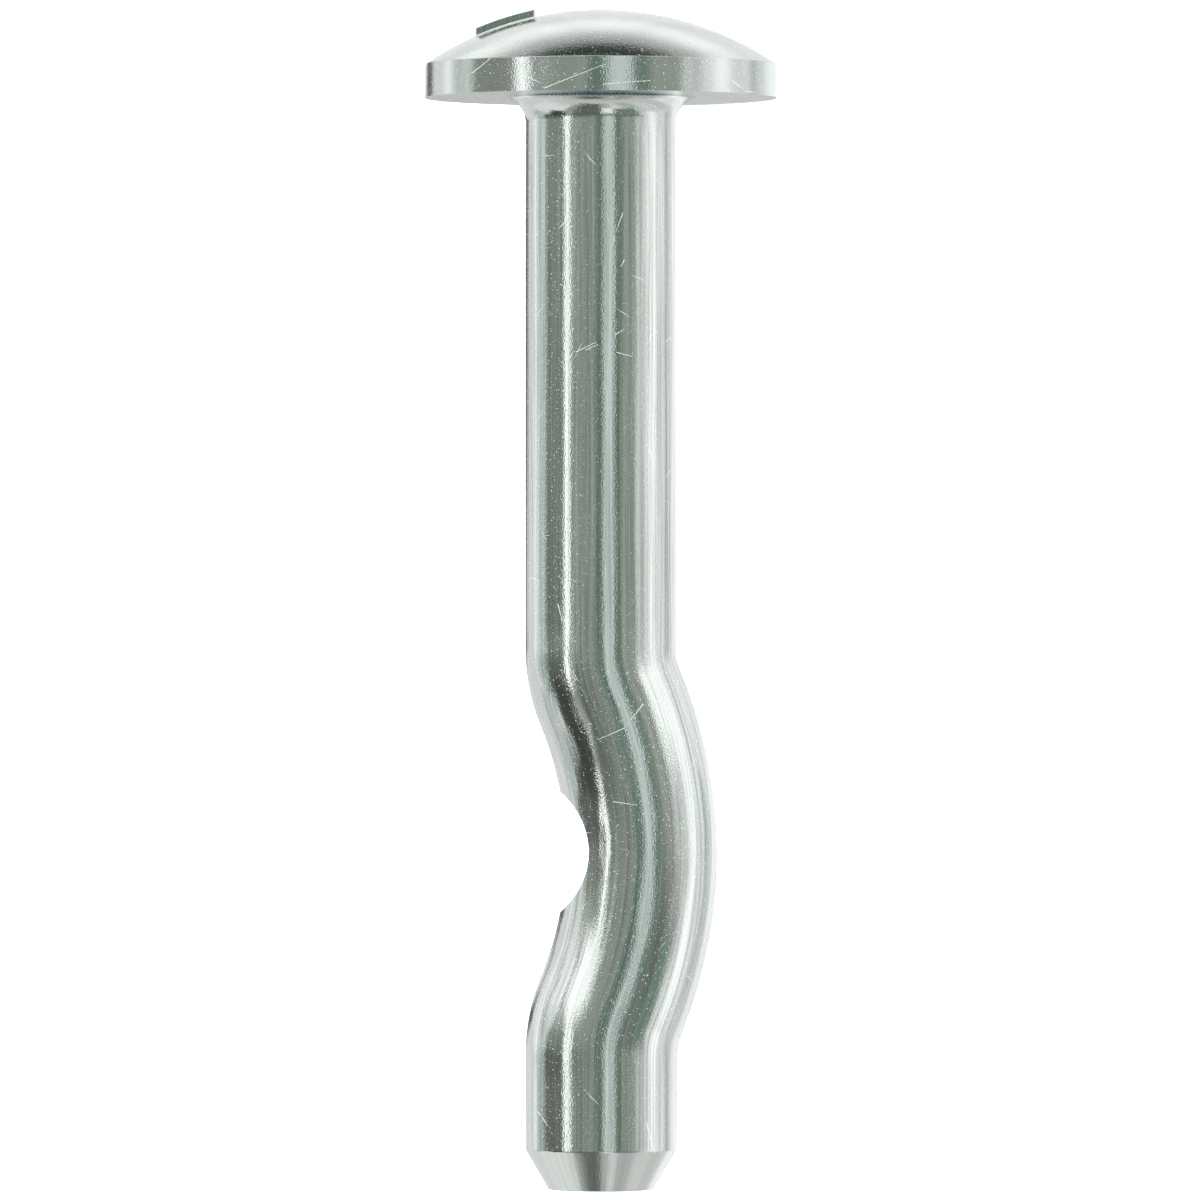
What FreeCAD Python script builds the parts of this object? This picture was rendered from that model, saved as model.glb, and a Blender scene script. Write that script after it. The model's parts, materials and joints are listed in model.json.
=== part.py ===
import FreeCAD, Part
import math
import os

# Mushroom head drive anchor: one piece of headed, crimped and zinc-plated steel wire.
# It is modelled upright about its own shank: the bearing face of the head at height 0,
# the shank downwards, the crimp in the XZ plane with its bow towards +X.
# Then it is laid down as it comes to rest. Lengths are in millimetres, angles in degrees.

# Shank
shank_diameter = 6.15
under_head_length = 44.45
under_head_fillet = 0.95

# Head
head_diameter = 14.35
rim_thickness = 1.38
dome_height = 2.22
rim_edge_break = 0.08

# Raised mark on the dome, on the side away from the bow
mark_width = 2.42
mark_depth = 3.4
mark_height = 0.3
mark_offset = 3.88
mark_corner_radius = 0.2

# Crimp: a bend out, the bow across the middle and a bend back, all along tangent arcs
crimp_centre = 30.7
bend_angle = 22.4
bend_radius = 5.2
bow_radius = 16.5

# Die notch across the inner side of the bow
notch_radius = 3.15
notch_depth = 0.95

# Chamfered tip
tip_diameter = 4.25
tip_angle = 30.0

# Sizes that follow from these
shank_radius = shank_diameter / 2
head_radius = head_diameter / 2
tip_length = (shank_radius - tip_diameter / 2) / math.tan(math.radians(tip_angle))
crimp_half_length = (bend_radius + bow_radius) * math.sin(math.radians(bend_angle))
crimp_offset = (bend_radius + bow_radius) * (1 - math.cos(math.radians(bend_angle)))
dome_radius = (head_radius ** 2 + dome_height ** 2) / (2 * dome_height)
dome_centre = rim_thickness + dome_height - dome_radius
shank_foot = tip_length - under_head_length

ORIGIN = FreeCAD.Vector(0, 0, 0)
Y = FreeCAD.Vector(0, 1, 0)
Z = FreeCAD.Vector(0, 0, 1)


def section_point(radius, height):
    return FreeCAD.Vector(radius, 0, height)


def first_point(edge):
    return edge.valueAt(edge.FirstParameter)


def last_point(edge):
    return edge.valueAt(edge.LastParameter)


def straight_edges(corners):
    return [Part.makeLine(a, b) for a, b in zip(corners, corners[1:])]


def turned(outline):
    """The solid of revolution of a closed outline about the shank's axis."""
    return Part.Face(Part.Wire(outline)).revolve(ORIGIN, Z, 360)


def outline_arc(centre, radius, first_angle, last_angle):
    """An arc of an outline, its angles in degrees from level outwards, up as positive."""
    points = []
    for angle in (first_angle, (first_angle + last_angle) / 2, last_angle):
        way = math.radians(angle)
        points.append(centre + section_point(radius * math.cos(way), radius * math.sin(way)))
    return Part.Arc(*points).toShape()


def head_with_shank():
    """The domed head, its rim with both edges broken, and the straight shank down to the crimp."""
    dome_edge_radius = head_radius - rim_edge_break
    dome_edge_angle = math.degrees(math.acos(dome_edge_radius / dome_radius))
    fillet_centre = section_point(shank_radius + under_head_fillet, -under_head_fillet)
    dome = outline_arc(section_point(0, dome_centre), dome_radius, 90, dome_edge_angle)
    fillet = outline_arc(fillet_centre, under_head_fillet, 90, 180)
    crimp_start = crimp_half_length - crimp_centre
    rim_corners = [
        last_point(dome),
        section_point(head_radius, rim_thickness - rim_edge_break),
        section_point(head_radius, rim_edge_break),
        section_point(dome_edge_radius, 0),
        first_point(fillet),
    ]
    shank_corners = [
        last_point(fillet),
        section_point(shank_radius, crimp_start),
        section_point(0, crimp_start),
        first_point(dome),
    ]
    return turned([dome] + straight_edges(rim_corners) + [fillet] + straight_edges(shank_corners))


def raised_mark():
    """A plain raised pad whose top is concentric with the dome."""
    block = Part.makeBox(
        mark_width,
        mark_depth,
        dome_height + mark_height,
        FreeCAD.Vector(-mark_offset - mark_width / 2, -mark_depth / 2, rim_thickness),
    )
    uprights = [edge for edge in block.Edges if abs(edge.tangentAt(edge.FirstParameter).z) > 0.5]
    block = block.makeFillet(mark_corner_radius, uprights)
    ball = Part.makeSphere(dome_radius + mark_height, section_point(0, dome_centre))
    return block.common(ball)


def bent_bar(start, pivot, first_turn, sweep):
    """Round bar that follows an arc: its section at start is turned about pivot, then swept on."""
    section = Part.Face(Part.Wire(Part.makeCircle(shank_radius, start, Z)))
    section.rotate(pivot, Y, first_turn)
    return section.revolve(pivot, Y, sweep)


def crimp():
    """The bend out, the bow and the bend back."""
    bend_out = bent_bar(
        section_point(0, crimp_half_length - crimp_centre),
        section_point(bend_radius, crimp_half_length - crimp_centre),
        0,
        -bend_angle,
    )
    bow = bent_bar(
        section_point(crimp_offset, -crimp_centre),
        section_point(crimp_offset - bow_radius, -crimp_centre),
        -bend_angle,
        2 * bend_angle,
    )
    bend_back = bent_bar(
        section_point(0, -crimp_centre - crimp_half_length),
        section_point(bend_radius, -crimp_centre - crimp_half_length),
        bend_angle,
        -bend_angle,
    )
    return [bend_out, bow, bend_back]


def pilot():
    """The straight end below the crimp, with its chamfered tip."""
    top_middle = section_point(0, -crimp_centre - crimp_half_length)
    top = section_point(shank_radius, -crimp_centre - crimp_half_length)
    foot = section_point(shank_radius, shank_foot)
    tip = section_point(tip_diameter / 2, -under_head_length)
    tip_middle = section_point(0, -under_head_length)
    corners = [top_middle, top, foot, tip, tip_middle, top_middle]
    return turned(straight_edges(corners))


def die_notch():
    """The round tool that leaves the notch across the inner side of the bow."""
    notch_floor = crimp_offset - shank_radius + notch_depth
    cutter_start = FreeCAD.Vector(notch_floor - notch_radius, -shank_diameter, -crimp_centre)
    return Part.makeCylinder(notch_radius, 2 * shank_diameter, cutter_start, Y)


def upright_anchor():
    bar = head_with_shank().fuse(crimp() + [pilot(), raised_mark()])
    return bar.cut(die_notch()).removeSplitter()


def resting_tilt():
    """The angle between shank and floor when the rim's lower edge and the shank's foot touch it."""
    return math.degrees(math.atan2(head_radius - shank_radius, rim_edge_break - shank_foot))


def bow_clearance(roll, tilt):
    """Height of the bow over the floor, with the bow turned by roll from straight down."""
    rise = math.sin(math.radians(tilt))
    drop = math.cos(math.radians(tilt)) * math.cos(math.radians(roll))
    foot_height = -shank_foot * rise + shank_radius * math.cos(math.radians(tilt))
    pivot_height = foot_height - (crimp_offset - bow_radius) * drop - crimp_centre * rise
    return pivot_height - bow_radius * math.hypot(drop, rise) - shank_radius


def resting_roll(tilt):
    """The turn about the shank at which the bow also comes down on the floor."""
    touching = 0.0
    clear = 90.0
    if bow_clearance(touching, tilt) > 0:
        return touching
    while clear - touching > 1e-9:
        middle = (touching + clear) / 2
        if bow_clearance(middle, tilt) < 0:
            touching = middle
        else:
            clear = middle
    return clear


def laid_down(anchor):
    """The anchor on its side: head towards +X, bow down and towards -Y, the floor at height 0."""
    tilt = resting_tilt()
    roll = resting_roll(tilt)
    anchor.rotate(ORIGIN, Z, -roll)
    anchor.rotate(ORIGIN, Y, 90 - tilt)
    box = anchor.optimalBoundingBox(False)
    anchor.translate(FreeCAD.Vector(-box.Center.x, -box.Center.y, -box.ZMin))
    print("tilt %.4f roll %.4f" % (tilt, roll))
    print("length %.3f width %.3f height %.3f" % (box.XLength, box.YLength, box.ZLength))
    return anchor


os.makedirs("parts", exist_ok=True)
drive_anchor = laid_down(upright_anchor())
drive_anchor.exportStep("parts/drive_anchor.step")
print("volume %.2f mm3, valid %s" % (drive_anchor.Volume, drive_anchor.isValid()))
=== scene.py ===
"""Looks of the mushroom head drive anchor: bright zinc plated steel on a pale studio floor."""

import json
import math

import bmesh
import bpy
from mathutils import Matrix, Vector


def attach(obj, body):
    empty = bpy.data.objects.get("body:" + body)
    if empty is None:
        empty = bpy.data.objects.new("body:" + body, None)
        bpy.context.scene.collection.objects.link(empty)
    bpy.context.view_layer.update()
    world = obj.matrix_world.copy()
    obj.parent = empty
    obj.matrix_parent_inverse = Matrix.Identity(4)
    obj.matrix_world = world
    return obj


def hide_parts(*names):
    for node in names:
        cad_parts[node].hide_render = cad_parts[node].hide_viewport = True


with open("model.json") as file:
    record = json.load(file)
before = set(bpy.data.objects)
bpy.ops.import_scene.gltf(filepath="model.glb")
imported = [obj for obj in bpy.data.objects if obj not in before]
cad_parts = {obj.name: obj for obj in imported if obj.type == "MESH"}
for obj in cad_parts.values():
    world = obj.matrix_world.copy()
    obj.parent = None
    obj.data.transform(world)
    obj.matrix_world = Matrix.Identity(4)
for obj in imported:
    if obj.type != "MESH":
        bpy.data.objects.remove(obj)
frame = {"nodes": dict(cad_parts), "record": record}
bpy.context.view_layer.update()

# Sizes of the anchor in millimetres and degrees, upright about its own shank:
# the bearing face of the head at height 0, the shank downwards, the bow towards +X.
shank_radius = 3.075
under_head_length = 44.45
under_head_fillet = 0.95
head_radius = 7.175
rim_thickness = 1.38
dome_height = 2.22
rim_edge_round = 0.015
mark_width = 2.42
mark_depth = 3.4
mark_height = 0.3
mark_offset = 3.88
mark_corner_radius = 0.08
mark_foot_round = 0.06
crimp_centre = 30.7
bend_angle = 22.4
bend_radius = 5.2
bow_radius = 16.5
notch_radius = 3.15
notch_depth = 0.95
tip_radius = 2.125
tip_angle = 30.0
tip_edge_round = 0.04

# Sizes that follow from these
dome_radius = (head_radius ** 2 + dome_height ** 2) / (2 * dome_height)
dome_centre = rim_thickness + dome_height - dome_radius
crimp_half_length = (bend_radius + bow_radius) * math.sin(math.radians(bend_angle))
crimp_offset = (bend_radius + bow_radius) * (1 - math.cos(math.radians(bend_angle)))
crimp_start = crimp_half_length - crimp_centre
crimp_end = -crimp_half_length - crimp_centre
tip_length = (shank_radius - tip_radius) / math.tan(math.radians(tip_angle))
shank_foot = tip_length - under_head_length

# Along the wire as it was before it was bent, down from the bearing face
crimp_path_length = 2 * math.radians(bend_angle) * (bend_radius + bow_radius)
crimp_path_middle = crimp_start - crimp_path_length / 2
crimp_path_end = crimp_start - crimp_path_length
straight_length = under_head_length + crimp_path_length - 2 * crimp_half_length

# How finely the round forms are divided
SIDES = 256
FILLET_STEPS = 16
DOME_STEPS = 36
BEND_STEPS = 16
BOW_STEPS = 96
EDGE_STEPS = 4
MARK_CORNER_STEPS = 8
MARK_BALL_SIDES = 128
MARK_BALL_RINGS = 192
NOTCH_SIDES = 360

# In millimetres: places this near are one place, and places this near an edge are on it
SAME_PLACE = 0.0001
ON_EDGE = 0.002

# The widest turn between faces, in degrees, that is shaded as one smooth surface,
# and the weight at which the largest face at a corner decides its shading
SMOOTH_ANGLE = 35
LARGE_FACES_FIRST = 100

# A millimetre in Blender's metres
MM = 0.001
ALONG_Y = (0, 1, 0)
ALONG_Z = (0, 0, 1)


# Where the anchor lies

def middle_of_volume(solid):
    """The centre of a CAD node's volume, from its closed triangles."""
    mesh = solid.data
    mesh.calc_loop_triangles()
    volume = 0.0
    moment = Vector((0, 0, 0))
    for triangle in mesh.loop_triangles:
        a, b, c = (mesh.vertices[i].co for i in triangle.vertices)
        part = a.dot(b.cross(c)) / 6
        volume += part
        moment += part * (a + b + c) / 4
    return moment / volume


def lying_place():
    """The turn and place of the resting anchor.

    Its axis runs through the record's mounts, and its bow is on the heavier side."""
    mounts = {mount["name"]: mount for mount in frame["record"]["mounts"]}
    foot = Vector(mounts["pilot_end"]["pos_m"])
    towards_head = -Vector(mounts["pilot_end"]["axis"]).normalized()
    seat = Vector(mounts["head_seat"]["pos_m"])
    seat_centre = foot + towards_head * (seat - foot).dot(towards_head)
    off_axis = middle_of_volume(frame["nodes"]["drive_anchor"]) - foot
    towards_bow = (off_axis - towards_head * off_axis.dot(towards_head)).normalized()
    turn = Matrix((towards_bow, towards_head.cross(towards_bow), towards_head)).transposed()
    return Matrix.Translation(seat_centre) @ turn.to_4x4()


place = lying_place()
seat_centre = place.translation.copy()
towards_bow, across, towards_head = (place.col[i].to_3d() for i in range(3))
towards_camera = -across


# Camera

# The photograph, in pixels: its side, the column of the shank's axis, the row of the bearing face,
# and how many millimetres one pixel shows
PHOTO_SIDE = 1200
PHOTO_AXIS_COLUMN = 600.7
PHOTO_SEAT_ROW = 98.3
PHOTO_MM_PER_PIXEL = 0.040743
# From the lens to the anchor, in millimetres
CAMERA_DISTANCE = 444.1


def set_camera():
    """A long lens that looks square on to the anchor's bend plane, head upwards."""
    right = (PHOTO_SIDE / 2 - PHOTO_AXIS_COLUMN) * PHOTO_MM_PER_PIXEL
    down = (PHOTO_SIDE / 2 - PHOTO_SEAT_ROW) * PHOTO_MM_PER_PIXEL
    target = seat_centre + towards_bow * right * MM - towards_head * down * MM
    lens = bpy.data.cameras.new("photo_camera")
    lens.lens = lens.sensor_width * CAMERA_DISTANCE / (PHOTO_SIDE * PHOTO_MM_PER_PIXEL)
    camera = bpy.data.objects.new("photo_camera", lens)
    bpy.context.scene.collection.objects.link(camera)
    turn = Matrix((towards_bow, towards_head, towards_camera)).transposed().to_4x4()
    camera.matrix_world = Matrix.Translation(target + towards_camera * CAMERA_DISTANCE * MM) @ turn
    bpy.context.scene.camera = camera


# Modelling by hand

def pick(piece):
    """Makes a piece the active object and the only one selected."""
    bpy.ops.object.select_all(action="DESELECT")
    bpy.context.view_layer.objects.active = piece
    piece.select_set(True)


def start_editing(piece):
    pick(piece)
    bpy.ops.object.mode_set(mode="EDIT")


def stop_editing():
    bpy.ops.object.mode_set(mode="OBJECT")


def select_where(piece, is_wanted):
    """In edit mode, selects the vertices whose places pass a test, with the edges between them."""
    bpy.ops.mesh.select_all(action="DESELECT")
    mesh = bmesh.from_edit_mesh(piece.data)
    for vertex in mesh.verts:
        vertex.select = is_wanted(vertex.co)
    mesh.select_flush(True)
    bmesh.update_edit_mesh(piece.data)


def draw_on(right, up):
    """Draws the outline, or the wire, on from what is selected, straight along."""
    bpy.ops.mesh.extrude_region_move(TRANSFORM_OT_translate={"value": (right, 0, up)})


def draw_arc(centre_right, centre_up, degrees, steps):
    """Draws the outline, or the wire, on from what is selected, round a centre in the XZ plane."""
    bpy.ops.mesh.spin(
        steps=steps,
        angle=-math.radians(degrees),
        center=(centre_right, 0, centre_up),
        axis=ALONG_Y,
    )


def close_up():
    """Joins what lies on the same spot and turns all faces outwards."""
    bpy.ops.mesh.select_all(action="SELECT")
    bpy.ops.mesh.remove_doubles(threshold=SAME_PLACE)
    bpy.ops.mesh.normals_make_consistent(inside=False)


def round_ring(piece, radius, height, size):
    """Rounds the edge that runs round the axis at a radius and height."""
    def on_ring(spot):
        off_radius = abs(math.hypot(spot.x, spot.y) - radius)
        return off_radius < ON_EDGE and abs(spot.z - height) < ON_EDGE
    select_where(piece, on_ring)
    bpy.ops.mesh.bevel(offset=size, segments=EDGE_STEPS, affect="EDGES")


def apply_modifier(piece, modifier):
    pick(piece)
    bpy.ops.object.modifier_apply(modifier=modifier.name)


def combine(piece, tool, operation):
    """Cuts, joins or crosses a piece with a tool, which is used up."""
    modifier = piece.modifiers.new(operation.lower(), "BOOLEAN")
    modifier.operation = operation
    modifier.solver = "EXACT"
    modifier.object = tool
    apply_modifier(piece, modifier)
    bpy.data.objects.remove(tool)


def spin_head():
    """In edit mode, draws the head's half outline from the fillet's foot and spins it round."""
    bpy.ops.transform.translate(value=(shank_radius, 0, -under_head_fillet))
    draw_arc(shank_radius + under_head_fillet, -under_head_fillet, 90, FILLET_STEPS)
    draw_on(head_radius - shank_radius - under_head_fillet, 0)
    draw_on(0, rim_thickness)
    dome_half_angle = math.degrees(math.asin(head_radius / dome_radius))
    draw_arc(0, dome_centre, -dome_half_angle, DOME_STEPS)
    bpy.ops.mesh.select_all(action="SELECT")
    bpy.ops.mesh.spin(steps=SIDES, angle=math.tau, center=(0, 0, 0), axis=ALONG_Z)
    close_up()


def draw_wire(piece):
    """In edit mode, draws the ring at the fillet's foot down the shank, the crimp and the tip."""
    select_where(piece, lambda spot: spot.z < ON_EDGE - under_head_fillet)
    draw_on(0, crimp_start + under_head_fillet)
    draw_arc(bend_radius, crimp_start, -bend_angle, BEND_STEPS)
    draw_arc(crimp_offset - bow_radius, -crimp_centre, 2 * bend_angle, BOW_STEPS)
    draw_arc(bend_radius, crimp_end, -bend_angle, BEND_STEPS)
    draw_on(0, shank_foot - crimp_end)
    draw_on(0, -tip_length)
    narrowing = tip_radius / shank_radius
    bpy.ops.transform.resize(
        value=(narrowing, narrowing, 1),
        center_override=(0, 0, -under_head_length),
    )
    bpy.ops.mesh.edge_face_add()
    close_up()


def headed_wire():
    """The head, spun from its outline, and the wire drawn on through the crimp to the tip."""
    bpy.ops.object.select_all(action="DESELECT")
    bpy.ops.mesh.primitive_plane_add(size=1, location=(0, 0, 0))
    piece = bpy.context.object
    piece.name = "anchor"
    start_editing(piece)
    bpy.ops.mesh.select_all(action="SELECT")
    bpy.ops.mesh.merge(type="CENTER")
    spin_head()
    draw_wire(piece)
    round_ring(piece, head_radius, 0, rim_edge_round)
    round_ring(piece, head_radius, rim_thickness, rim_edge_round)
    round_ring(piece, shank_radius, shank_foot, tip_edge_round)
    round_ring(piece, tip_radius, -under_head_length, tip_edge_round)
    stop_editing()
    return piece


def raised_mark():
    """The plain raised pad on the dome, its top concentric with the dome.

    Of its block's rounded edges only the upright ones remain: a ball cuts the top ones away, and
    the lower ones are inside the head."""
    block_height = dome_height + 2 * mark_height
    bpy.ops.object.select_all(action="DESELECT")
    bpy.ops.mesh.primitive_cube_add(
        size=1,
        location=(-mark_offset, 0, rim_thickness + block_height / 2),
        scale=(mark_width, mark_depth, block_height),
    )
    pad = bpy.context.object
    bpy.ops.object.transform_apply(location=True, rotation=True, scale=True)
    start_editing(pad)
    bpy.ops.mesh.select_all(action="SELECT")
    bpy.ops.mesh.bevel(offset=mark_corner_radius, segments=MARK_CORNER_STEPS, affect="EDGES")
    stop_editing()
    bpy.ops.object.select_all(action="DESELECT")
    bpy.ops.mesh.primitive_uv_sphere_add(
        segments=MARK_BALL_SIDES,
        ring_count=MARK_BALL_RINGS,
        radius=dome_radius + mark_height,
        location=(0, 0, dome_centre),
    )
    combine(pad, bpy.context.object, "INTERSECT")
    return pad


def die_notch():
    """The round tool across the inner side of the bow."""
    notch_floor = crimp_offset - shank_radius + notch_depth
    bpy.ops.object.select_all(action="DESELECT")
    bpy.ops.mesh.primitive_cylinder_add(
        vertices=NOTCH_SIDES,
        radius=notch_radius,
        depth=4 * shank_radius,
        location=(notch_floor - notch_radius, 0, -crimp_centre),
        rotation=(math.radians(90), 0, 0),
    )
    return bpy.context.object


def unbent(spot):
    """Where a place of the bent wire would be if the wire were straight."""
    if spot.z >= crimp_start:
        return Vector(spot)
    if spot.z <= crimp_end:
        return Vector((spot.x, spot.y, crimp_path_end + spot.z - crimp_end))
    bow_turn = math.atan2(-crimp_centre - spot.z, spot.x - crimp_offset + bow_radius)
    if abs(bow_turn) <= math.radians(bend_angle):
        reach = math.hypot(spot.x - crimp_offset + bow_radius, spot.z + crimp_centre)
        return Vector((reach - bow_radius, spot.y, crimp_path_middle - bow_radius * bow_turn))
    if spot.z > -crimp_centre:
        turn = math.atan2(crimp_start - spot.z, bend_radius - spot.x)
        reach = math.hypot(spot.x - bend_radius, spot.z - crimp_start)
        return Vector((bend_radius - reach, spot.y, crimp_start - bend_radius * turn))
    turn = math.atan2(spot.z - crimp_end, bend_radius - spot.x)
    reach = math.hypot(spot.x - bend_radius, spot.z - crimp_end)
    return Vector((bend_radius - reach, spot.y, crimp_path_end + bend_radius * turn))


def remember_wire_place(piece):
    """Keeps each vertex's place in the unbent wire, in millimetres, for the finish to follow."""
    places = piece.data.attributes.new("wire_place", "FLOAT_VECTOR", "POINT")
    for vertex in piece.data.vertices:
        places.data[vertex.index].vector = unbent(vertex.co)


def smooth_over(piece):
    """Smooth shading that leaves flat faces flat and keeps true corners."""
    pick(piece)
    bpy.ops.object.shade_smooth_by_angle(angle=math.radians(SMOOTH_ANGLE))
    modifier = piece.modifiers.new("even_normals", "WEIGHTED_NORMAL")
    modifier.weight = LARGE_FACES_FIRST
    modifier.keep_sharp = True
    apply_modifier(piece, modifier)


def lay_down(piece):
    """Brings the upright anchor to its place in the frame, in metres, its object at the origin."""
    piece.matrix_world = place @ Matrix.Scale(MM, 4)
    pick(piece)
    bpy.ops.object.transform_apply(location=True, rotation=True, scale=True)


def build_anchor():
    """The whole anchor as one closed piece that stands for its CAD solid.

    It is smoothed while it is still in millimetres: in metres its faces are too small to weigh."""
    piece = headed_wire()
    combine(piece, die_notch(), "DIFFERENCE")
    combine(piece, raised_mark(), "UNION")
    remember_wire_place(piece)
    smooth_over(piece)
    lay_down(piece)
    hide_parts("drive_anchor")
    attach(piece, "root")
    return piece


# Node trees

def node(tree, kind, inputs, **settings):
    """Adds a node, with its settings and with links or values for its inputs."""
    made = tree.nodes.new(kind)
    for name, value in settings.items():
        setattr(made, name, value)
    for key, value in inputs.items():
        if isinstance(value, bpy.types.NodeSocket):
            tree.links.new(value, made.inputs[key])
        else:
            made.inputs[key].default_value = value
    return made


def placed(tree, grouped, inputs):
    """Puts a node group into a tree, with links or values for its inputs."""
    return node(tree, "ShaderNodeGroup", inputs, node_tree=grouped)


def maths(tree, operation, *values):
    return node(tree, "ShaderNodeMath", dict(enumerate(values)), operation=operation).outputs[0]


def vector_maths(tree, operation, *values):
    made = node(tree, "ShaderNodeVectorMath", dict(enumerate(values)), operation=operation)
    gives_number = operation in ("DOT_PRODUCT", "LENGTH", "DISTANCE")
    return made.outputs["Value" if gives_number else "Vector"]


def scaled(tree, vector, factor):
    sockets = {"Vector": vector, "Scale": factor}
    return node(tree, "ShaderNodeVectorMath", sockets, operation="SCALE").outputs["Vector"]


def one_axis(tree, vector, axis):
    return node(tree, "ShaderNodeSeparateXYZ", {"Vector": vector}).outputs[axis]


def noise(tree, vector, look):
    return node(tree, "ShaderNodeTexNoise", {"Vector": vector, **look}).outputs[0]


def clamped(tree, value):
    return node(tree, "ShaderNodeClamp", {"Value": value}).outputs[0]


def fade(tree, value, whole, gone):
    """1 up to a value, softly down to 0 at another."""
    sockets = {"Value": value, "From Min": whole, "From Max": gone, "To Min": 1.0, "To Max": 0.0}
    return node(tree, "ShaderNodeMapRange", sockets, interpolation_type="SMOOTHSTEP").outputs[0]


def both(tree, first, second):
    """A mask of what two masks share."""
    return maths(tree, "MULTIPLY", first, second)


def either(tree, first, second):
    """A mask of what either of two masks holds."""
    return maths(tree, "MAXIMUM", first, second)


def outside(tree, mask):
    """A mask of what another mask leaves."""
    return maths(tree, "SUBTRACT", 1.0, mask)


def added(tree, value, amount, mask):
    """A value with an amount added as far as a mask holds."""
    return maths(tree, "MULTIPLY_ADD", mask, amount, value)


def mixed(tree, share, first, second):
    """A colour between two, at a share of the way to the second."""
    sockets = {"Factor": share, 6: first, 7: second}
    return node(tree, "ShaderNodeMix", sockets, data_type="RGBA").outputs[2]


def tinted(tint, brightness):
    """A tint at a brightness, as the opaque colour that a socket takes."""
    return (*(brightness * share for share in tint), 1)


def group(name, inputs, outputs):
    """A node group with named sockets: its tree, its inputs and the node that takes its outputs."""
    tree = bpy.data.node_groups.new(name, "ShaderNodeTree")
    for title, kind in inputs.items():
        tree.interface.new_socket(title, in_out="INPUT", socket_type=kind)
    for title, kind in outputs.items():
        tree.interface.new_socket(title, in_out="OUTPUT", socket_type=kind)
    return tree, tree.nodes.new("NodeGroupInput").outputs, tree.nodes.new("NodeGroupOutput")


NUMBER = "NodeSocketFloat"
VECTOR = "NodeSocketVector"
COLOUR = "NodeSocketColor"

# What noise is above as often as below
NOISE_MIDDLE = 0.5


# Zinc plated steel, with lengths in millimetres

# The share of a pit's radius, and of a scratch's half width, that has the full effect
PIT_FLOOR = 0.5
SCRATCH_FLOOR = 0.4
# The power of a pit's chance that leaves most pits shallow
PIT_POWER = 2.0
# How much of its width a handling scratch has lost at its end
SCRATCH_TAPER = 0.5
MIDDLE_GREY = (0.5, 0.5, 0.5)


def scattered(tree, place, spacing):
    """Cells scattered about a spacing apart: their pattern's outputs, and each cell's chance."""
    per_mm = maths(tree, "DIVIDE", 1.0, spacing)
    cells = node(tree, "ShaderNodeTexVoronoi", {"Vector": place, "Scale": per_mm}).outputs
    chance = node(tree, "ShaderNodeTexWhiteNoise", {"Vector": cells["Position"]})
    return cells, chance.outputs["Value"]


def pits_group():
    """Tiny round pits scattered over the plating: how deep, from 0 to 1."""
    tree, given, result = group(
        "plating_pits",
        {"Place": VECTOR, "Spacing": NUMBER, "Radius": NUMBER},
        {"Depth": NUMBER},
    )
    cells, chance = scattered(tree, given["Place"], given["Spacing"])
    distance = maths(tree, "MULTIPLY", cells["Distance"], given["Spacing"])
    floor_radius = maths(tree, "MULTIPLY", given["Radius"], PIT_FLOOR)
    pit = fade(tree, distance, floor_radius, given["Radius"])
    depth = both(tree, pit, maths(tree, "POWER", chance, PIT_POWER))
    tree.links.new(depth, result.inputs["Depth"])
    return tree


def stray_scratches_group():
    """Short fine scratches that lie any way round: 1 on a scratch."""
    tree, given, result = group(
        "stray_scratches",
        {"Place": VECTOR, "Spacing": NUMBER, "Length": NUMBER, "Width": NUMBER, "Share": NUMBER},
        {"Scratch": NUMBER},
    )
    cells, chance = scattered(tree, given["Place"], given["Spacing"])
    from_middle = vector_maths(tree, "SUBTRACT", given["Place"], cells["Position"])
    any_way = vector_maths(tree, "SUBTRACT", cells["Color"], MIDDLE_GREY)
    way = vector_maths(tree, "NORMALIZE", any_way)
    off_line = maths(tree, "ABSOLUTE", vector_maths(tree, "DOT_PRODUCT", from_middle, way))
    half_width = maths(tree, "MULTIPLY", given["Width"], 0.5)
    full_width = maths(tree, "MULTIPLY", half_width, SCRATCH_FLOOR)
    on_line = fade(tree, off_line, full_width, half_width)
    half_length = maths(tree, "MULTIPLY", given["Length"], 0.5)
    on_length = fade(tree, vector_maths(tree, "LENGTH", from_middle), 0.0, half_length)
    chosen = maths(tree, "LESS_THAN", chance, given["Share"])
    scratch = both(tree, both(tree, on_line, on_length), chosen)
    tree.links.new(scratch, result.inputs["Scratch"])
    return tree


def handling_scratch_group():
    """One scratch between two places, on the side of the anchor that the photograph shows."""
    tree, given, result = group(
        "handling_scratch",
        {"Place": VECTOR, "Start": VECTOR, "End": VECTOR, "Width": NUMBER},
        {"Scratch": NUMBER},
    )
    flat_place = vector_maths(tree, "MULTIPLY", given["Place"], (1, 0, 1))
    from_start = vector_maths(tree, "SUBTRACT", flat_place, given["Start"])
    run = vector_maths(tree, "SUBTRACT", given["End"], given["Start"])
    squared = vector_maths(tree, "DOT_PRODUCT", run, run)
    share = maths(tree, "DIVIDE", vector_maths(tree, "DOT_PRODUCT", from_start, run), squared)
    share = clamped(tree, share)
    off_line = vector_maths(tree, "DISTANCE", from_start, scaled(tree, run, share))
    taper = added(tree, 1.0, -SCRATCH_TAPER, share)
    half_width = maths(tree, "MULTIPLY", maths(tree, "MULTIPLY", given["Width"], 0.5), taper)
    full_width = maths(tree, "MULTIPLY", half_width, SCRATCH_FLOOR)
    on_line = fade(tree, off_line, full_width, half_width)
    in_front = maths(tree, "LESS_THAN", one_axis(tree, given["Place"], "Y"), 0.0)
    tree.links.new(both(tree, on_line, in_front), result.inputs["Scratch"])
    return tree


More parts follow.
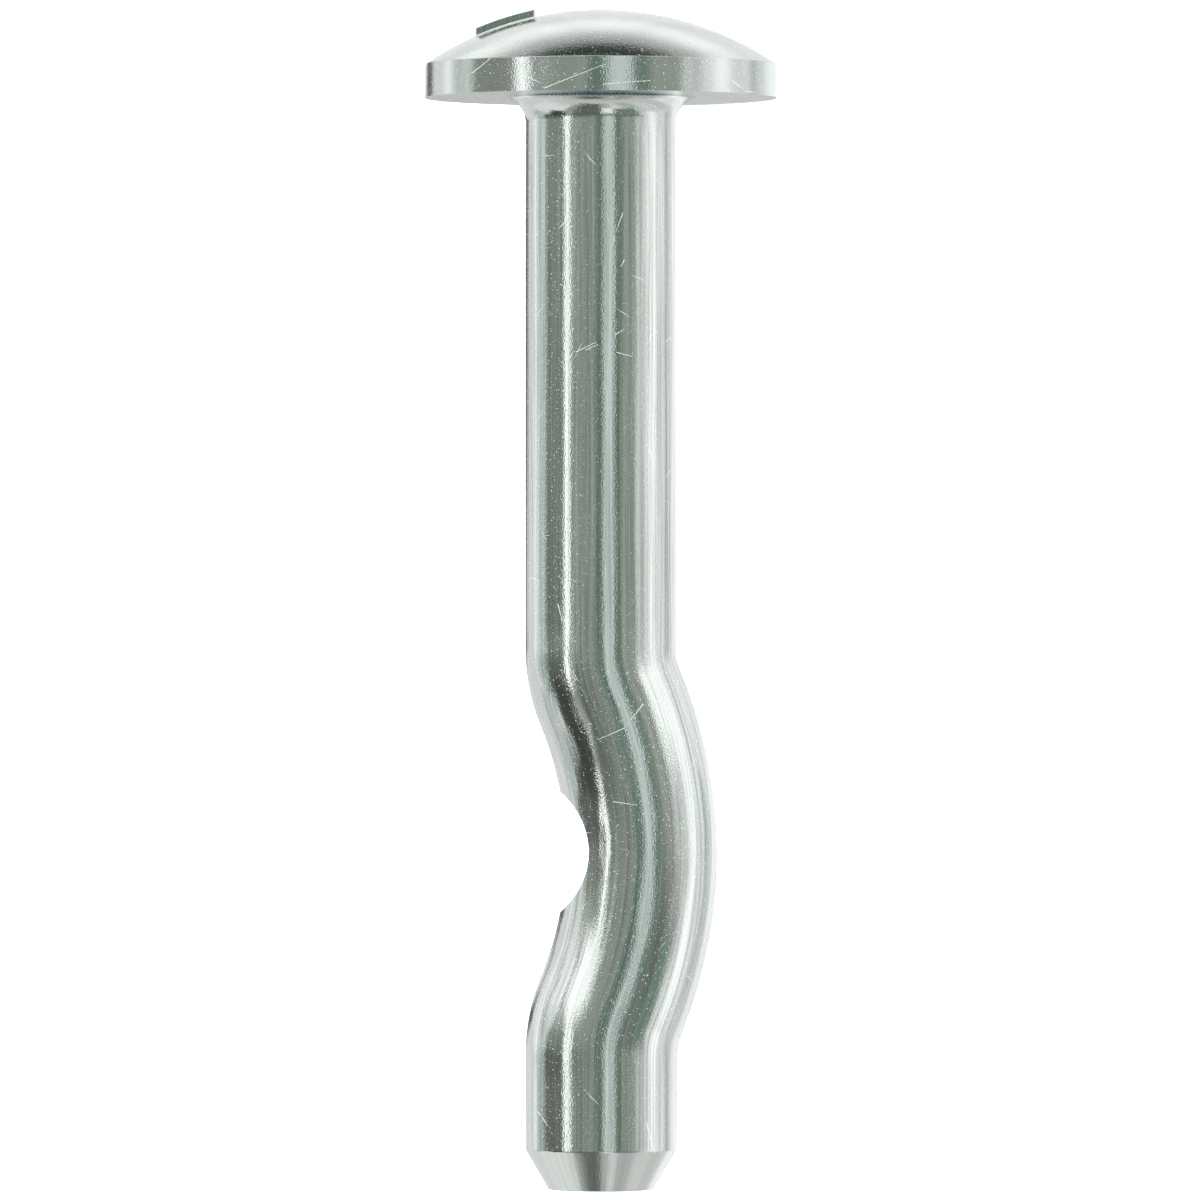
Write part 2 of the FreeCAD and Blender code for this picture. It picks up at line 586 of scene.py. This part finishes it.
# Pits: how far apart they lie and how far they reach
FINE_PITS = {"Spacing": 0.11, "Radius": 0.033}
BROAD_PITS = {"Spacing": 0.4, "Radius": 0.045}
BROAD_PITS_SHIFT = (17.0, 31.0, 5.0)
# How far the pits are missing on the tip, and on the bow's side of the straight wire
TIP_SMOOTHNESS = 0.8
STRAIGHT_SMOOTHNESS = 0.45

# Fine scratches that lie any way round, and the share of the places for one that have it
STRAY_SCRATCHES = {"Spacing": 1.1, "Length": 1.1, "Width": 0.035, "Share": 0.25}

# Handling scratches on the photographed side, each from one place to another:
# to the right of the shank's axis and above the bearing face
HANDLING_SCRATCH_WIDTH = 0.05
HANDLING_SCRATCHES = (
    ((-2.27, 0.1), (0.2, 1.05)),
    ((0.1, 0.24), (2.0, 0.4)),
    ((-5.16, 0.8), (-4.43, 1.35)),
    ((-2.9, 0.54), (-2.43, 0.32)),
    ((0.89, -4.78), (0.62, -5.53)),
    ((0.95, -6.67), (0.83, -6.95)),
    ((0.6, -9.7), (0.95, -9.48)),
    ((-0.97, -10.38), (-0.19, -10.01)),
    ((-0.6, -10.32), (-0.1, -10.1)),
    ((0.66, -10.42), (1.28, -10.58)),
    ((-1.74, -20.6), (-1.54, -21.3)),
    ((1.72, -24.65), (1.07, -25.46)),
    ((0.94, -25.63), (-0.12, -26.1)),
    ((0.5, -28.6), (1.48, -28.74)),
    ((-2.55, -41.2), (-2.15, -41.75)),
    ((1.85, -41.6), (2.2, -42.9)),
)

# How far to each side the masks of the tip and of the crimp fade
TIP_FADE = 0.05
CRIMP_FADE = 1.0
# How deep the end face counts, how high over the dome the mark starts, and how high the painted
# highlight line at its foot reaches
END_FACE_DEPTH = 0.02
MARK_START = 0.01
MARK_FOOT_PAINTED_HIGHLIGHT = 0.03

# Drawing lines: how many to a radius round the wire, how little they change along it,
# and how far the chamfer has taken them off the tip
DRAWING_LINES = {"Scale": 32.0, "Detail": 2.0}
DRAWING_LINE_STRETCH = (0, 0, 0.004)
TIP_LINES_LOST = 0.7

# The plating's grain and patches, and the waves that the die leaves in the crimp, per millimetre
GRAIN = {"Scale": 17.0, "Detail": 0.0}
PATCHES = {"Scale": 0.6, "Detail": 2.0}
WAVES = {"Scale": 1.1, "Detail": 1.0}
WAVE_STRETCH = (1, 1, 0.3)
GRAIN_HEIGHT = 0.0037
WAVE_HEIGHT = 0.03
INNER_WAVE_HEIGHT = 0.04

# Roughness of the bright plating, and what is added to it
BRIGHT_ROUGHNESS = 0.045
PATCH_ROUGHNESS = 0.06
WORN_AND_HIGHLIGHT_ROUGHNESS = 0.5
TIP_ROUGHNESS = 0.06
MARK_TOP_ROUGHNESS = 0.2
# What scratches, pits and the mark's foot band add to its metallic share of 1; with their pale
# colour this paints sparkle on the pits and a highlight line at the mark's foot
WORN_AND_HIGHLIGHT_METALLIC = -0.1

# Brightness of the plating, and what is added to it
PLATING_TINT = (0.985, 1.0, 0.99)
PLATING_TONE = 0.665
DRAWING_LINE_TONE = 0.8
PATCH_TONE = 0.05
MARK_TOP_TONE = -0.05
# Pale colour of scratches and pits, which also paints sparkle on the pits and a highlight line at the
# mark's foot
WORN_AND_HIGHLIGHT_COLOUR = (0.95, 0.96, 0.955, 1)


def wire_zones(tree, spot):
    """Masks of the wire's parts, from its places before it was bent."""
    along = one_axis(tree, spot, "Z")
    towards_bow_side = one_axis(tree, spot, "X")
    tip_start = tip_length - straight_length
    off_crimp = maths(tree, "ABSOLUTE", maths(tree, "SUBTRACT", along, crimp_path_middle))
    crimp_reach = crimp_path_length / 2
    return {
        "tip": fade(tree, along, tip_start - TIP_FADE, tip_start + TIP_FADE),
        "end face": maths(tree, "LESS_THAN", along, END_FACE_DEPTH - straight_length),
        "wire": fade(tree, along, -2 * under_head_fillet, -under_head_fillet),
        "crimp": fade(tree, off_crimp, crimp_reach - CRIMP_FADE, crimp_reach + CRIMP_FADE),
        "inner side": fade(tree, towards_bow_side, -shank_radius / 2, 0),
    }


def mark_zones(tree, spot):
    """Masks of the raised mark, how its foot runs into the dome, and the painted highlight line at
    its foot, from 0 to 1.
    """
    from_dome_centre = vector_maths(tree, "SUBTRACT", spot, (0, 0, dome_centre))
    from_dome_centre = vector_maths(tree, "LENGTH", from_dome_centre)
    over_dome = maths(tree, "SUBTRACT", from_dome_centre, dome_radius)
    on_dome = maths(tree, "GREATER_THAN", one_axis(tree, spot, "Z"), rim_thickness)
    mark = both(tree, maths(tree, "GREATER_THAN", over_dome, MARK_START), on_dome)
    top = both(tree, maths(tree, "GREATER_THAN", over_dome, mark_height - MARK_START), on_dome)
    foot = outside(tree, maths(tree, "DIVIDE", over_dome, mark_foot_round))
    foot = clamped(tree, foot)
    return {
        "mark": mark,
        "mark top": top,
        "mark foot": both(tree, both(tree, foot, foot), on_dome),
        # A thin band up the mark's wall from the dome, given the pale colour: a painted highlight
        # line
        "mark foot painted highlight": both(tree, maths(tree, "LESS_THAN", over_dome, MARK_FOOT_PAINTED_HIGHLIGHT), mark),
    }


def all_pits(tree, spot, zones):
    """Fine and broad pits, none on the mark and fewer on the tip and the straight wire's bow side."""
    pits = pits_group()
    fine_pits = placed(tree, pits, {"Place": spot, **FINE_PITS}).outputs[0]
    shifted = vector_maths(tree, "ADD", spot, BROAD_PITS_SHIFT)
    broad_pits = placed(tree, pits, {"Place": shifted, **BROAD_PITS}).outputs[0]
    smooth_tip = maths(tree, "MULTIPLY", zones["tip"], TIP_SMOOTHNESS)
    smooth_place = either(tree, zones["mark"], smooth_tip)
    straight = both(tree, zones["wire"], outside(tree, zones["crimp"]))
    calm_place = both(tree, straight, outside(tree, zones["inner side"]))
    # The pits are real and rough; the pale colour and lower metallic share they get paint sparkle
    pitted = both(tree, either(tree, fine_pits, broad_pits), outside(tree, smooth_place))
    return both(tree, pitted, added(tree, 1.0, -STRAIGHT_SMOOTHNESS, calm_place))


def all_scratches(tree, spot):
    """Stray scratches all over and the handling scratches in their places: 1 on a scratch."""
    stray = stray_scratches_group()
    scratches = placed(tree, stray, {"Place": spot, **STRAY_SCRATCHES}).outputs[0]
    handling = handling_scratch_group()
    for ends in HANDLING_SCRATCHES:
        start, end = (tuple(unbent(Vector((right, 0, up)))) for right, up in ends)
        sockets = {"Place": spot, "Start": start, "End": end, "Width": HANDLING_SCRATCH_WIDTH}
        scratches = either(tree, scratches, placed(tree, handling, sockets).outputs[0])
    return scratches


def drawing_lines(tree, spot, zones):
    """Lines along the wire from its drawing, above and below 0, faint on the tip's chamfer."""
    around = vector_maths(tree, "NORMALIZE", vector_maths(tree, "MULTIPLY", spot, (1, 1, 0)))
    drawn = vector_maths(tree, "MULTIPLY_ADD", spot, DRAWING_LINE_STRETCH, around)
    lines = maths(tree, "SUBTRACT", noise(tree, drawn, DRAWING_LINES), NOISE_MIDDLE)
    lost_on_tip = maths(tree, "MULTIPLY", zones["tip"], TIP_LINES_LOST)
    lost = either(tree, lost_on_tip, zones["end face"])
    return both(tree, lines, both(tree, zones["wire"], outside(tree, lost)))


def surface_height(tree, spot, zones):
    """Height of the plating: its grain, the crimp's waves and the round at the mark's foot."""
    grain = maths(tree, "MULTIPLY", noise(tree, spot, GRAIN), GRAIN_HEIGHT)
    pressed = vector_maths(tree, "MULTIPLY", spot, WAVE_STRETCH)
    waves = both(tree, noise(tree, pressed, WAVES), zones["crimp"])
    wave_height = added(tree, WAVE_HEIGHT, INNER_WAVE_HEIGHT, zones["inner side"])
    height = maths(tree, "ADD", grain, maths(tree, "MULTIPLY", waves, wave_height))
    return added(tree, height, mark_foot_round / 2, zones["mark foot"])


def zinc_plated_steel():
    """Bright zinc, near a mirror: fine pits, drawing lines, scratches, a satin tip and mark.

    Sparkle on the pits and a highlight line at the mark's foot are painted in a pale colour.
    """
    material = bpy.data.materials.new("zinc_plated_steel")
    material.use_nodes = True
    tree = material.node_tree
    shader = tree.nodes["Principled BSDF"]
    spot = node(tree, "ShaderNodeAttribute", {}, attribute_name="wire_place").outputs["Vector"]
    zones = {**wire_zones(tree, spot), **mark_zones(tree, spot)}
    patches = noise(tree, spot, PATCHES)
    worn_and_highlight = either(tree, all_scratches(tree, spot), all_pits(tree, spot, zones))
    # Scratches and pits, and the band at the mark's foot, where the pale colour paints a highlight
    # line
    worn_and_highlight = either(tree, worn_and_highlight, zones["mark foot painted highlight"])

    height = surface_height(tree, spot, zones)
    bump = node(tree, "ShaderNodeBump", {"Height": height, "Strength": 1.0, "Distance": MM})
    tree.links.new(bump.outputs[0], shader.inputs["Normal"])

    roughness = added(tree, BRIGHT_ROUGHNESS, PATCH_ROUGHNESS, patches)
    roughness = added(tree, roughness, WORN_AND_HIGHLIGHT_ROUGHNESS, worn_and_highlight)
    roughness = added(tree, roughness, TIP_ROUGHNESS, zones["tip"])
    roughness = added(tree, roughness, MARK_TOP_ROUGHNESS, zones["mark top"])
    tree.links.new(roughness, shader.inputs["Roughness"])
    tree.links.new(added(tree, 1.0, WORN_AND_HIGHLIGHT_METALLIC, worn_and_highlight), shader.inputs["Metallic"])

    tone = added(tree, PLATING_TONE, DRAWING_LINE_TONE, drawing_lines(tree, spot, zones))
    tone = added(tree, tone, PATCH_TONE, patches)
    tone = added(tree, tone, MARK_TOP_TONE, zones["mark top"])
    colour = mixed(tree, worn_and_highlight, scaled(tree, PLATING_TINT, tone), WORN_AND_HIGHLIGHT_COLOUR)
    tree.links.new(colour, shader.inputs["Base Color"])
    return material


# Studio

# The table: its side in metres, its colour and its roughness
TABLE_SIDE = 8
TABLE_COLOUR = (0.9, 0.9, 0.9, 1)
TABLE_ROUGHNESS = 0.9


def studio_floor():
    """A plain white table. The metal's reflections come from the studio's cards instead."""
    bpy.ops.object.select_all(action="DESELECT")
    bpy.ops.mesh.primitive_plane_add(size=TABLE_SIDE, location=(0, 0, 0))
    floor = bpy.context.object
    floor.name = "floor"
    floor.visible_glossy = False
    material = bpy.data.materials.new("pale_floor")
    material.use_nodes = True
    shader = material.node_tree.nodes["Principled BSDF"]
    shader.inputs["Base Color"].default_value = TABLE_COLOUR
    shader.inputs["Roughness"].default_value = TABLE_ROUGHNESS
    floor.data.materials.append(material)


# The sockets that say where a card hangs, in the order of a row of CARDS
HANGING = (
    "Card Around",
    "Card Width",
    "Side Softness",
    "Card Along",
    "Card Length",
    "End Softness",
)


def studio_card_group():
    """A soft-edged card in the studio, over what hangs behind it.

    Its place is in degrees: around the anchor's axis from the camera's side towards the bow's side,
    and along it from the head's end."""
    numbers = {title: NUMBER for title in ("Around", "Along", *HANGING)}
    tree, given, result = group(
        "studio_card",
        {**numbers, "Behind": COLOUR, "Card": COLOUR},
        {"Colour": COLOUR},
    )
    off_side = maths(tree, "SUBTRACT", given["Around"], given["Card Around"])
    off_side = maths(tree, "ABSOLUTE", maths(tree, "WRAP", off_side, 180.0, -180.0))
    off_end = maths(tree, "SUBTRACT", given["Along"], given["Card Along"])
    off_end = maths(tree, "ABSOLUTE", off_end)
    masks = []
    for off, size, softness in (
        (off_side, given["Card Width"], given["Side Softness"]),
        (off_end, given["Card Length"], given["End Softness"]),
    ):
        half = maths(tree, "MULTIPLY", size, 0.5)
        half_soft = maths(tree, "MULTIPLY", softness, 0.5)
        whole = maths(tree, "SUBTRACT", half, half_soft)
        gone = maths(tree, "ADD", half, half_soft)
        masks.append(fade(tree, off, whole, gone))
    colour = mixed(tree, both(tree, *masks), given["Behind"], given["Card"])
    tree.links.new(colour, result.inputs["Colour"])
    return tree


# Tints of the studio's cards
PLAIN = (0.958, 1.0, 0.975)
TEAL = (0.88, 1.0, 0.965)
GREEN = (0.70, 1.0, 0.83)
BROWN = (0.89, 1.0, 0.87)

# Where fine dark lines stand in the camera side's reflection, in degrees around
FINE_LINES = (-28.5, -24.5, -20.5, -16.0)

# The studio's cards from back to front: tint and brightness, then place around, width and side
# softness, then place along, length and end softness, all in degrees
CARDS = (
    ("camera side", BROWN, 0.36, -17, 146, 4, 90, 200, 8),
    ("far end", PLAIN, 0.62, 0, 400, 8, 160, 100, 14),
    ("low left wall", PLAIN, 0.84, -95, 80, 20, 128, 36, 20),
    ("low far left wall", PLAIN, 0.72, -155, 40, 12, 122, 44, 14),
    ("low far right wall", PLAIN, 0.85, 150, 30, 12, 124, 28, 10),
    ("low right wall", PLAIN, 0.72, 92, 32, 14, 132, 44, 10),
    ("upper left wall", PLAIN, 1.08, -88, 56, 14, 68, 32, 8),
    ("top light", PLAIN, 1.2, -5, 130, 24, 36, 56, 10),
    ("left wall", PLAIN, 0.76, -140, 50, 6, 92, 44, 8),
    ("left lit line", PLAIN, 1.02, -118.5, 11, 5, 80, 24, 6),
    ("left low line", PLAIN, 0.52, -112, 24, 6, 107, 12, 6),
    ("left haze", TEAL, 0.70, -104, 20, 5, 88.5, 21, 6),
    ("left haze's foot", TEAL, 0.48, -103, 18, 6, 95, 9, 4),
    ("left low haze", TEAL, 0.60, -98, 26, 6, 105, 12, 5),
    ("left dull line", PLAIN, 0.55, -106.5, 8, 4, 76, 18, 6),
    ("left thin shade", PLAIN, 0.48, -107.5, 4, 3, 85.5, 6, 3),
    ("left shade", BROWN, 0.40, -72, 32, 6, 100, 44, 8),
    ("left upper shade", PLAIN, 0.50, -76, 9, 5, 77, 12, 5),
    ("left deep shade", BROWN, 0.27, -75.5, 35, 5, 92, 16, 4),
    ("left deeper shade", BROWN, 0.15, -79, 35, 5, 98, 14, 5),
    ("left black", BROWN, 0.07, -70, 30, 8, 109, 20, 6),
    ("left strip", PLAIN, 1.18, -52.5, 10, 4, 50, 98, 6),
    ("left strip's flare", PLAIN, 1.24, -50, 31, 10, 38, 88, 8),
    ("left strip's foot", PLAIN, 1.3, -54, 8.5, 3, 96, 8, 4),
    ("teal edge", TEAL, 0.36, -42.5, 7, 3, 101, 34, 8),
    ("camera side's foot", GREEN, 0.25, -29, 28, 6, 96, 8, 3),
    ("front low shade", BROWN, 0.20, 4, 98, 8, 113, 36, 8),
    ("green beside lens", GREEN, 0.215, -3, 12.5, 5, 90, 90, 10),
    ("light line", TEAL, 0.36, -10.2, 2.4, 1.6, 92, 60, 8),
    *(("dark line", BROWN, 0.27, line, 2.0, 1.6, 92, 60, 8) for line in FINE_LINES),
    ("pale strip", TEAL, 0.68, 12.5, 16, 4, 90, 120, 10),
    ("pale strip's foot", TEAL, 0.33, 12.5, 17, 4, 105, 14, 6),
    ("green beyond strip", GREEN, 0.22, 27, 10, 5, 90, 90, 10),
    ("right grey", PLAIN, 0.60, 63.5, 15, 4, 84, 20, 10),
    ("right low grey", PLAIN, 0.52, 62, 19, 5, 99, 14, 8),
    ("thin strip", TEAL, 0.70, 58, 4, 3, 84, 18, 6),
    ("right low shade", GREEN, 0.24, 53, 20, 8, 109, 20, 8),
    ("right wall", PLAIN, 0.80, 94, 40, 5, 90, 50, 10),
    ("right softbox", PLAIN, 1.10, 87, 15, 9, 88, 54, 10),
    ("right softbox's top", PLAIN, 1.26, 77, 42, 14, 70, 20, 10),
    ("right far wall", PLAIN, 0.70, 127, 18, 6, 104, 36, 8),
    ("right dull line", TEAL, 0.56, 119.5, 8, 4, 95, 26, 6),
    ("right outer wall", PLAIN, 1.0, 162, 46, 14, 85, 70, 10),
    ("left outline", BROWN, 0.10, -157, 24, 5, 75, 28, 5),
    ("left outline's foot", BROWN, 0.12, -165, 18, 4, 82, 18, 4),
    ("rim's outer line", PLAIN, 0.95, -168, 16, 3, 84.1, 7, 0.3),
    ("rim's dark line", BROWN, 0.08, -150.5, 14, 3, 84.1, 7, 0.3),
    ("behind the seat", PLAIN, 0.46, 180, 24, 4, 97, 14, 4),
    ("behind the head", PLAIN, 0.82, 180, 60, 20, 71, 28, 6),
    ("dome glare", PLAIN, 1.06, 180, 70, 20, 52, 10, 6),
    ("grey over head", PLAIN, 0.50, 180, 180, 40, 18, 50, 8),
    ("black over head", GREEN, 0.05, 180, 230, 60, 27.5, 13, 7),
    ("low dark", BROWN, 0.15, -22, 48, 14, 132, 60, 10),
    ("low grey", BROWN, 0.34, -53, 16, 10, 140, 50, 10),
    ("low green", GREEN, 0.25, 41, 38, 6, 121, 26, 8),
    ("low strip", PLAIN, 1.0, 11, 18, 5, 126, 26, 6),
    ("low strip's foot", PLAIN, 0.46, 9, 20, 6, 152, 26, 8),
    ("low pale strip", PLAIN, 0.75, 29, 18, 8, 148, 28, 8),
    ("low right grey", PLAIN, 0.48, 58, 34, 12, 150, 30, 8),
)
# Brightness where no card hangs
BARE_STUDIO = 0.93

# Fine lines in the studio's light: how many per degree, and how strong
STUDIO_LINES = {"Scale": 0.35, "Detail": 1.0}
STUDIO_LINE_CONTRAST = 0.6
STUDIO_BRIGHTNESS = 1.15
# In a corner, light is mirrored more often than this, and this share of it is left
CORNER_MIRRORINGS = 3.5
CORNER_SHADE = (0.40, 0.52, 0.54)
# Brightness of the even white light on the table
TABLE_LIGHT = 4.0


def studio_cards(tree, around, along):
    """All the cards, hung in order: the colour that is seen in a direction."""
    card_group = studio_card_group()
    colour = tinted(PLAIN, BARE_STUDIO)
    for name, tint, brightness, *hung in CARDS:
        card = placed(tree, card_group, {
            "Around": around,
            "Along": along,
            **dict(zip(HANGING, hung)),
            "Behind": colour,
            "Card": tinted(tint, brightness),
        })
        card.label = name
        colour = card.outputs["Colour"]
    return colour


def studio_light():
    """An even white surround for the table, and the studio's cards for the metal to reflect.

    The metal finds the cards by its own reflections, so the world is not sampled as a lamp."""
    world = bpy.data.worlds.new("studio")
    world.use_nodes = True
    world.cycles.sampling_method = "NONE"
    tree = world.node_tree
    way = node(tree, "ShaderNodeTexCoord", {}).outputs["Generated"]
    bow_share = vector_maths(tree, "DOT_PRODUCT", way, tuple(towards_bow))
    camera_share = vector_maths(tree, "DOT_PRODUCT", way, tuple(towards_camera))
    head_share = vector_maths(tree, "DOT_PRODUCT", way, tuple(towards_head))
    around = maths(tree, "DEGREES", maths(tree, "ARCTAN2", bow_share, camera_share))
    along = maths(tree, "DEGREES", maths(tree, "ARCCOSINE", head_share))
    colour = studio_cards(tree, around, along)

    sockets = {"W": around, **STUDIO_LINES}
    lines = node(tree, "ShaderNodeTexNoise", sockets, noise_dimensions="1D").outputs[0]
    lines = maths(tree, "SUBTRACT", lines, NOISE_MIDDLE)
    lines = added(tree, 1.0, STUDIO_LINE_CONTRAST, lines)
    colour = scaled(tree, colour, maths(tree, "MULTIPLY", lines, STUDIO_BRIGHTNESS))

    light_path = node(tree, "ShaderNodeLightPath", {}).outputs
    in_corner = maths(tree, "GREATER_THAN", light_path["Ray Depth"], CORNER_MIRRORINGS)
    shaded = vector_maths(tree, "MULTIPLY", colour, CORNER_SHADE)
    studio = node(tree, "ShaderNodeBackground", {"Color": mixed(tree, in_corner, colour, shaded)})
    surround = tree.nodes["Background"]
    surround.inputs["Color"].default_value = (TABLE_LIGHT, TABLE_LIGHT, TABLE_LIGHT, 1)
    seen = node(tree, "ShaderNodeMixShader", {
        "Fac": light_path["Is Glossy Ray"],
        1: surround.outputs[0],
        2: studio.outputs[0],
    })
    tree.links.new(seen.outputs[0], tree.nodes["World Output"].inputs["Surface"])
    bpy.context.scene.world = world
    bpy.context.scene.view_settings.view_transform = "Standard"


set_camera()
studio_floor()
studio_light()
anchor = build_anchor()
anchor.data.materials.clear()
anchor.data.materials.append(zinc_plated_steel())
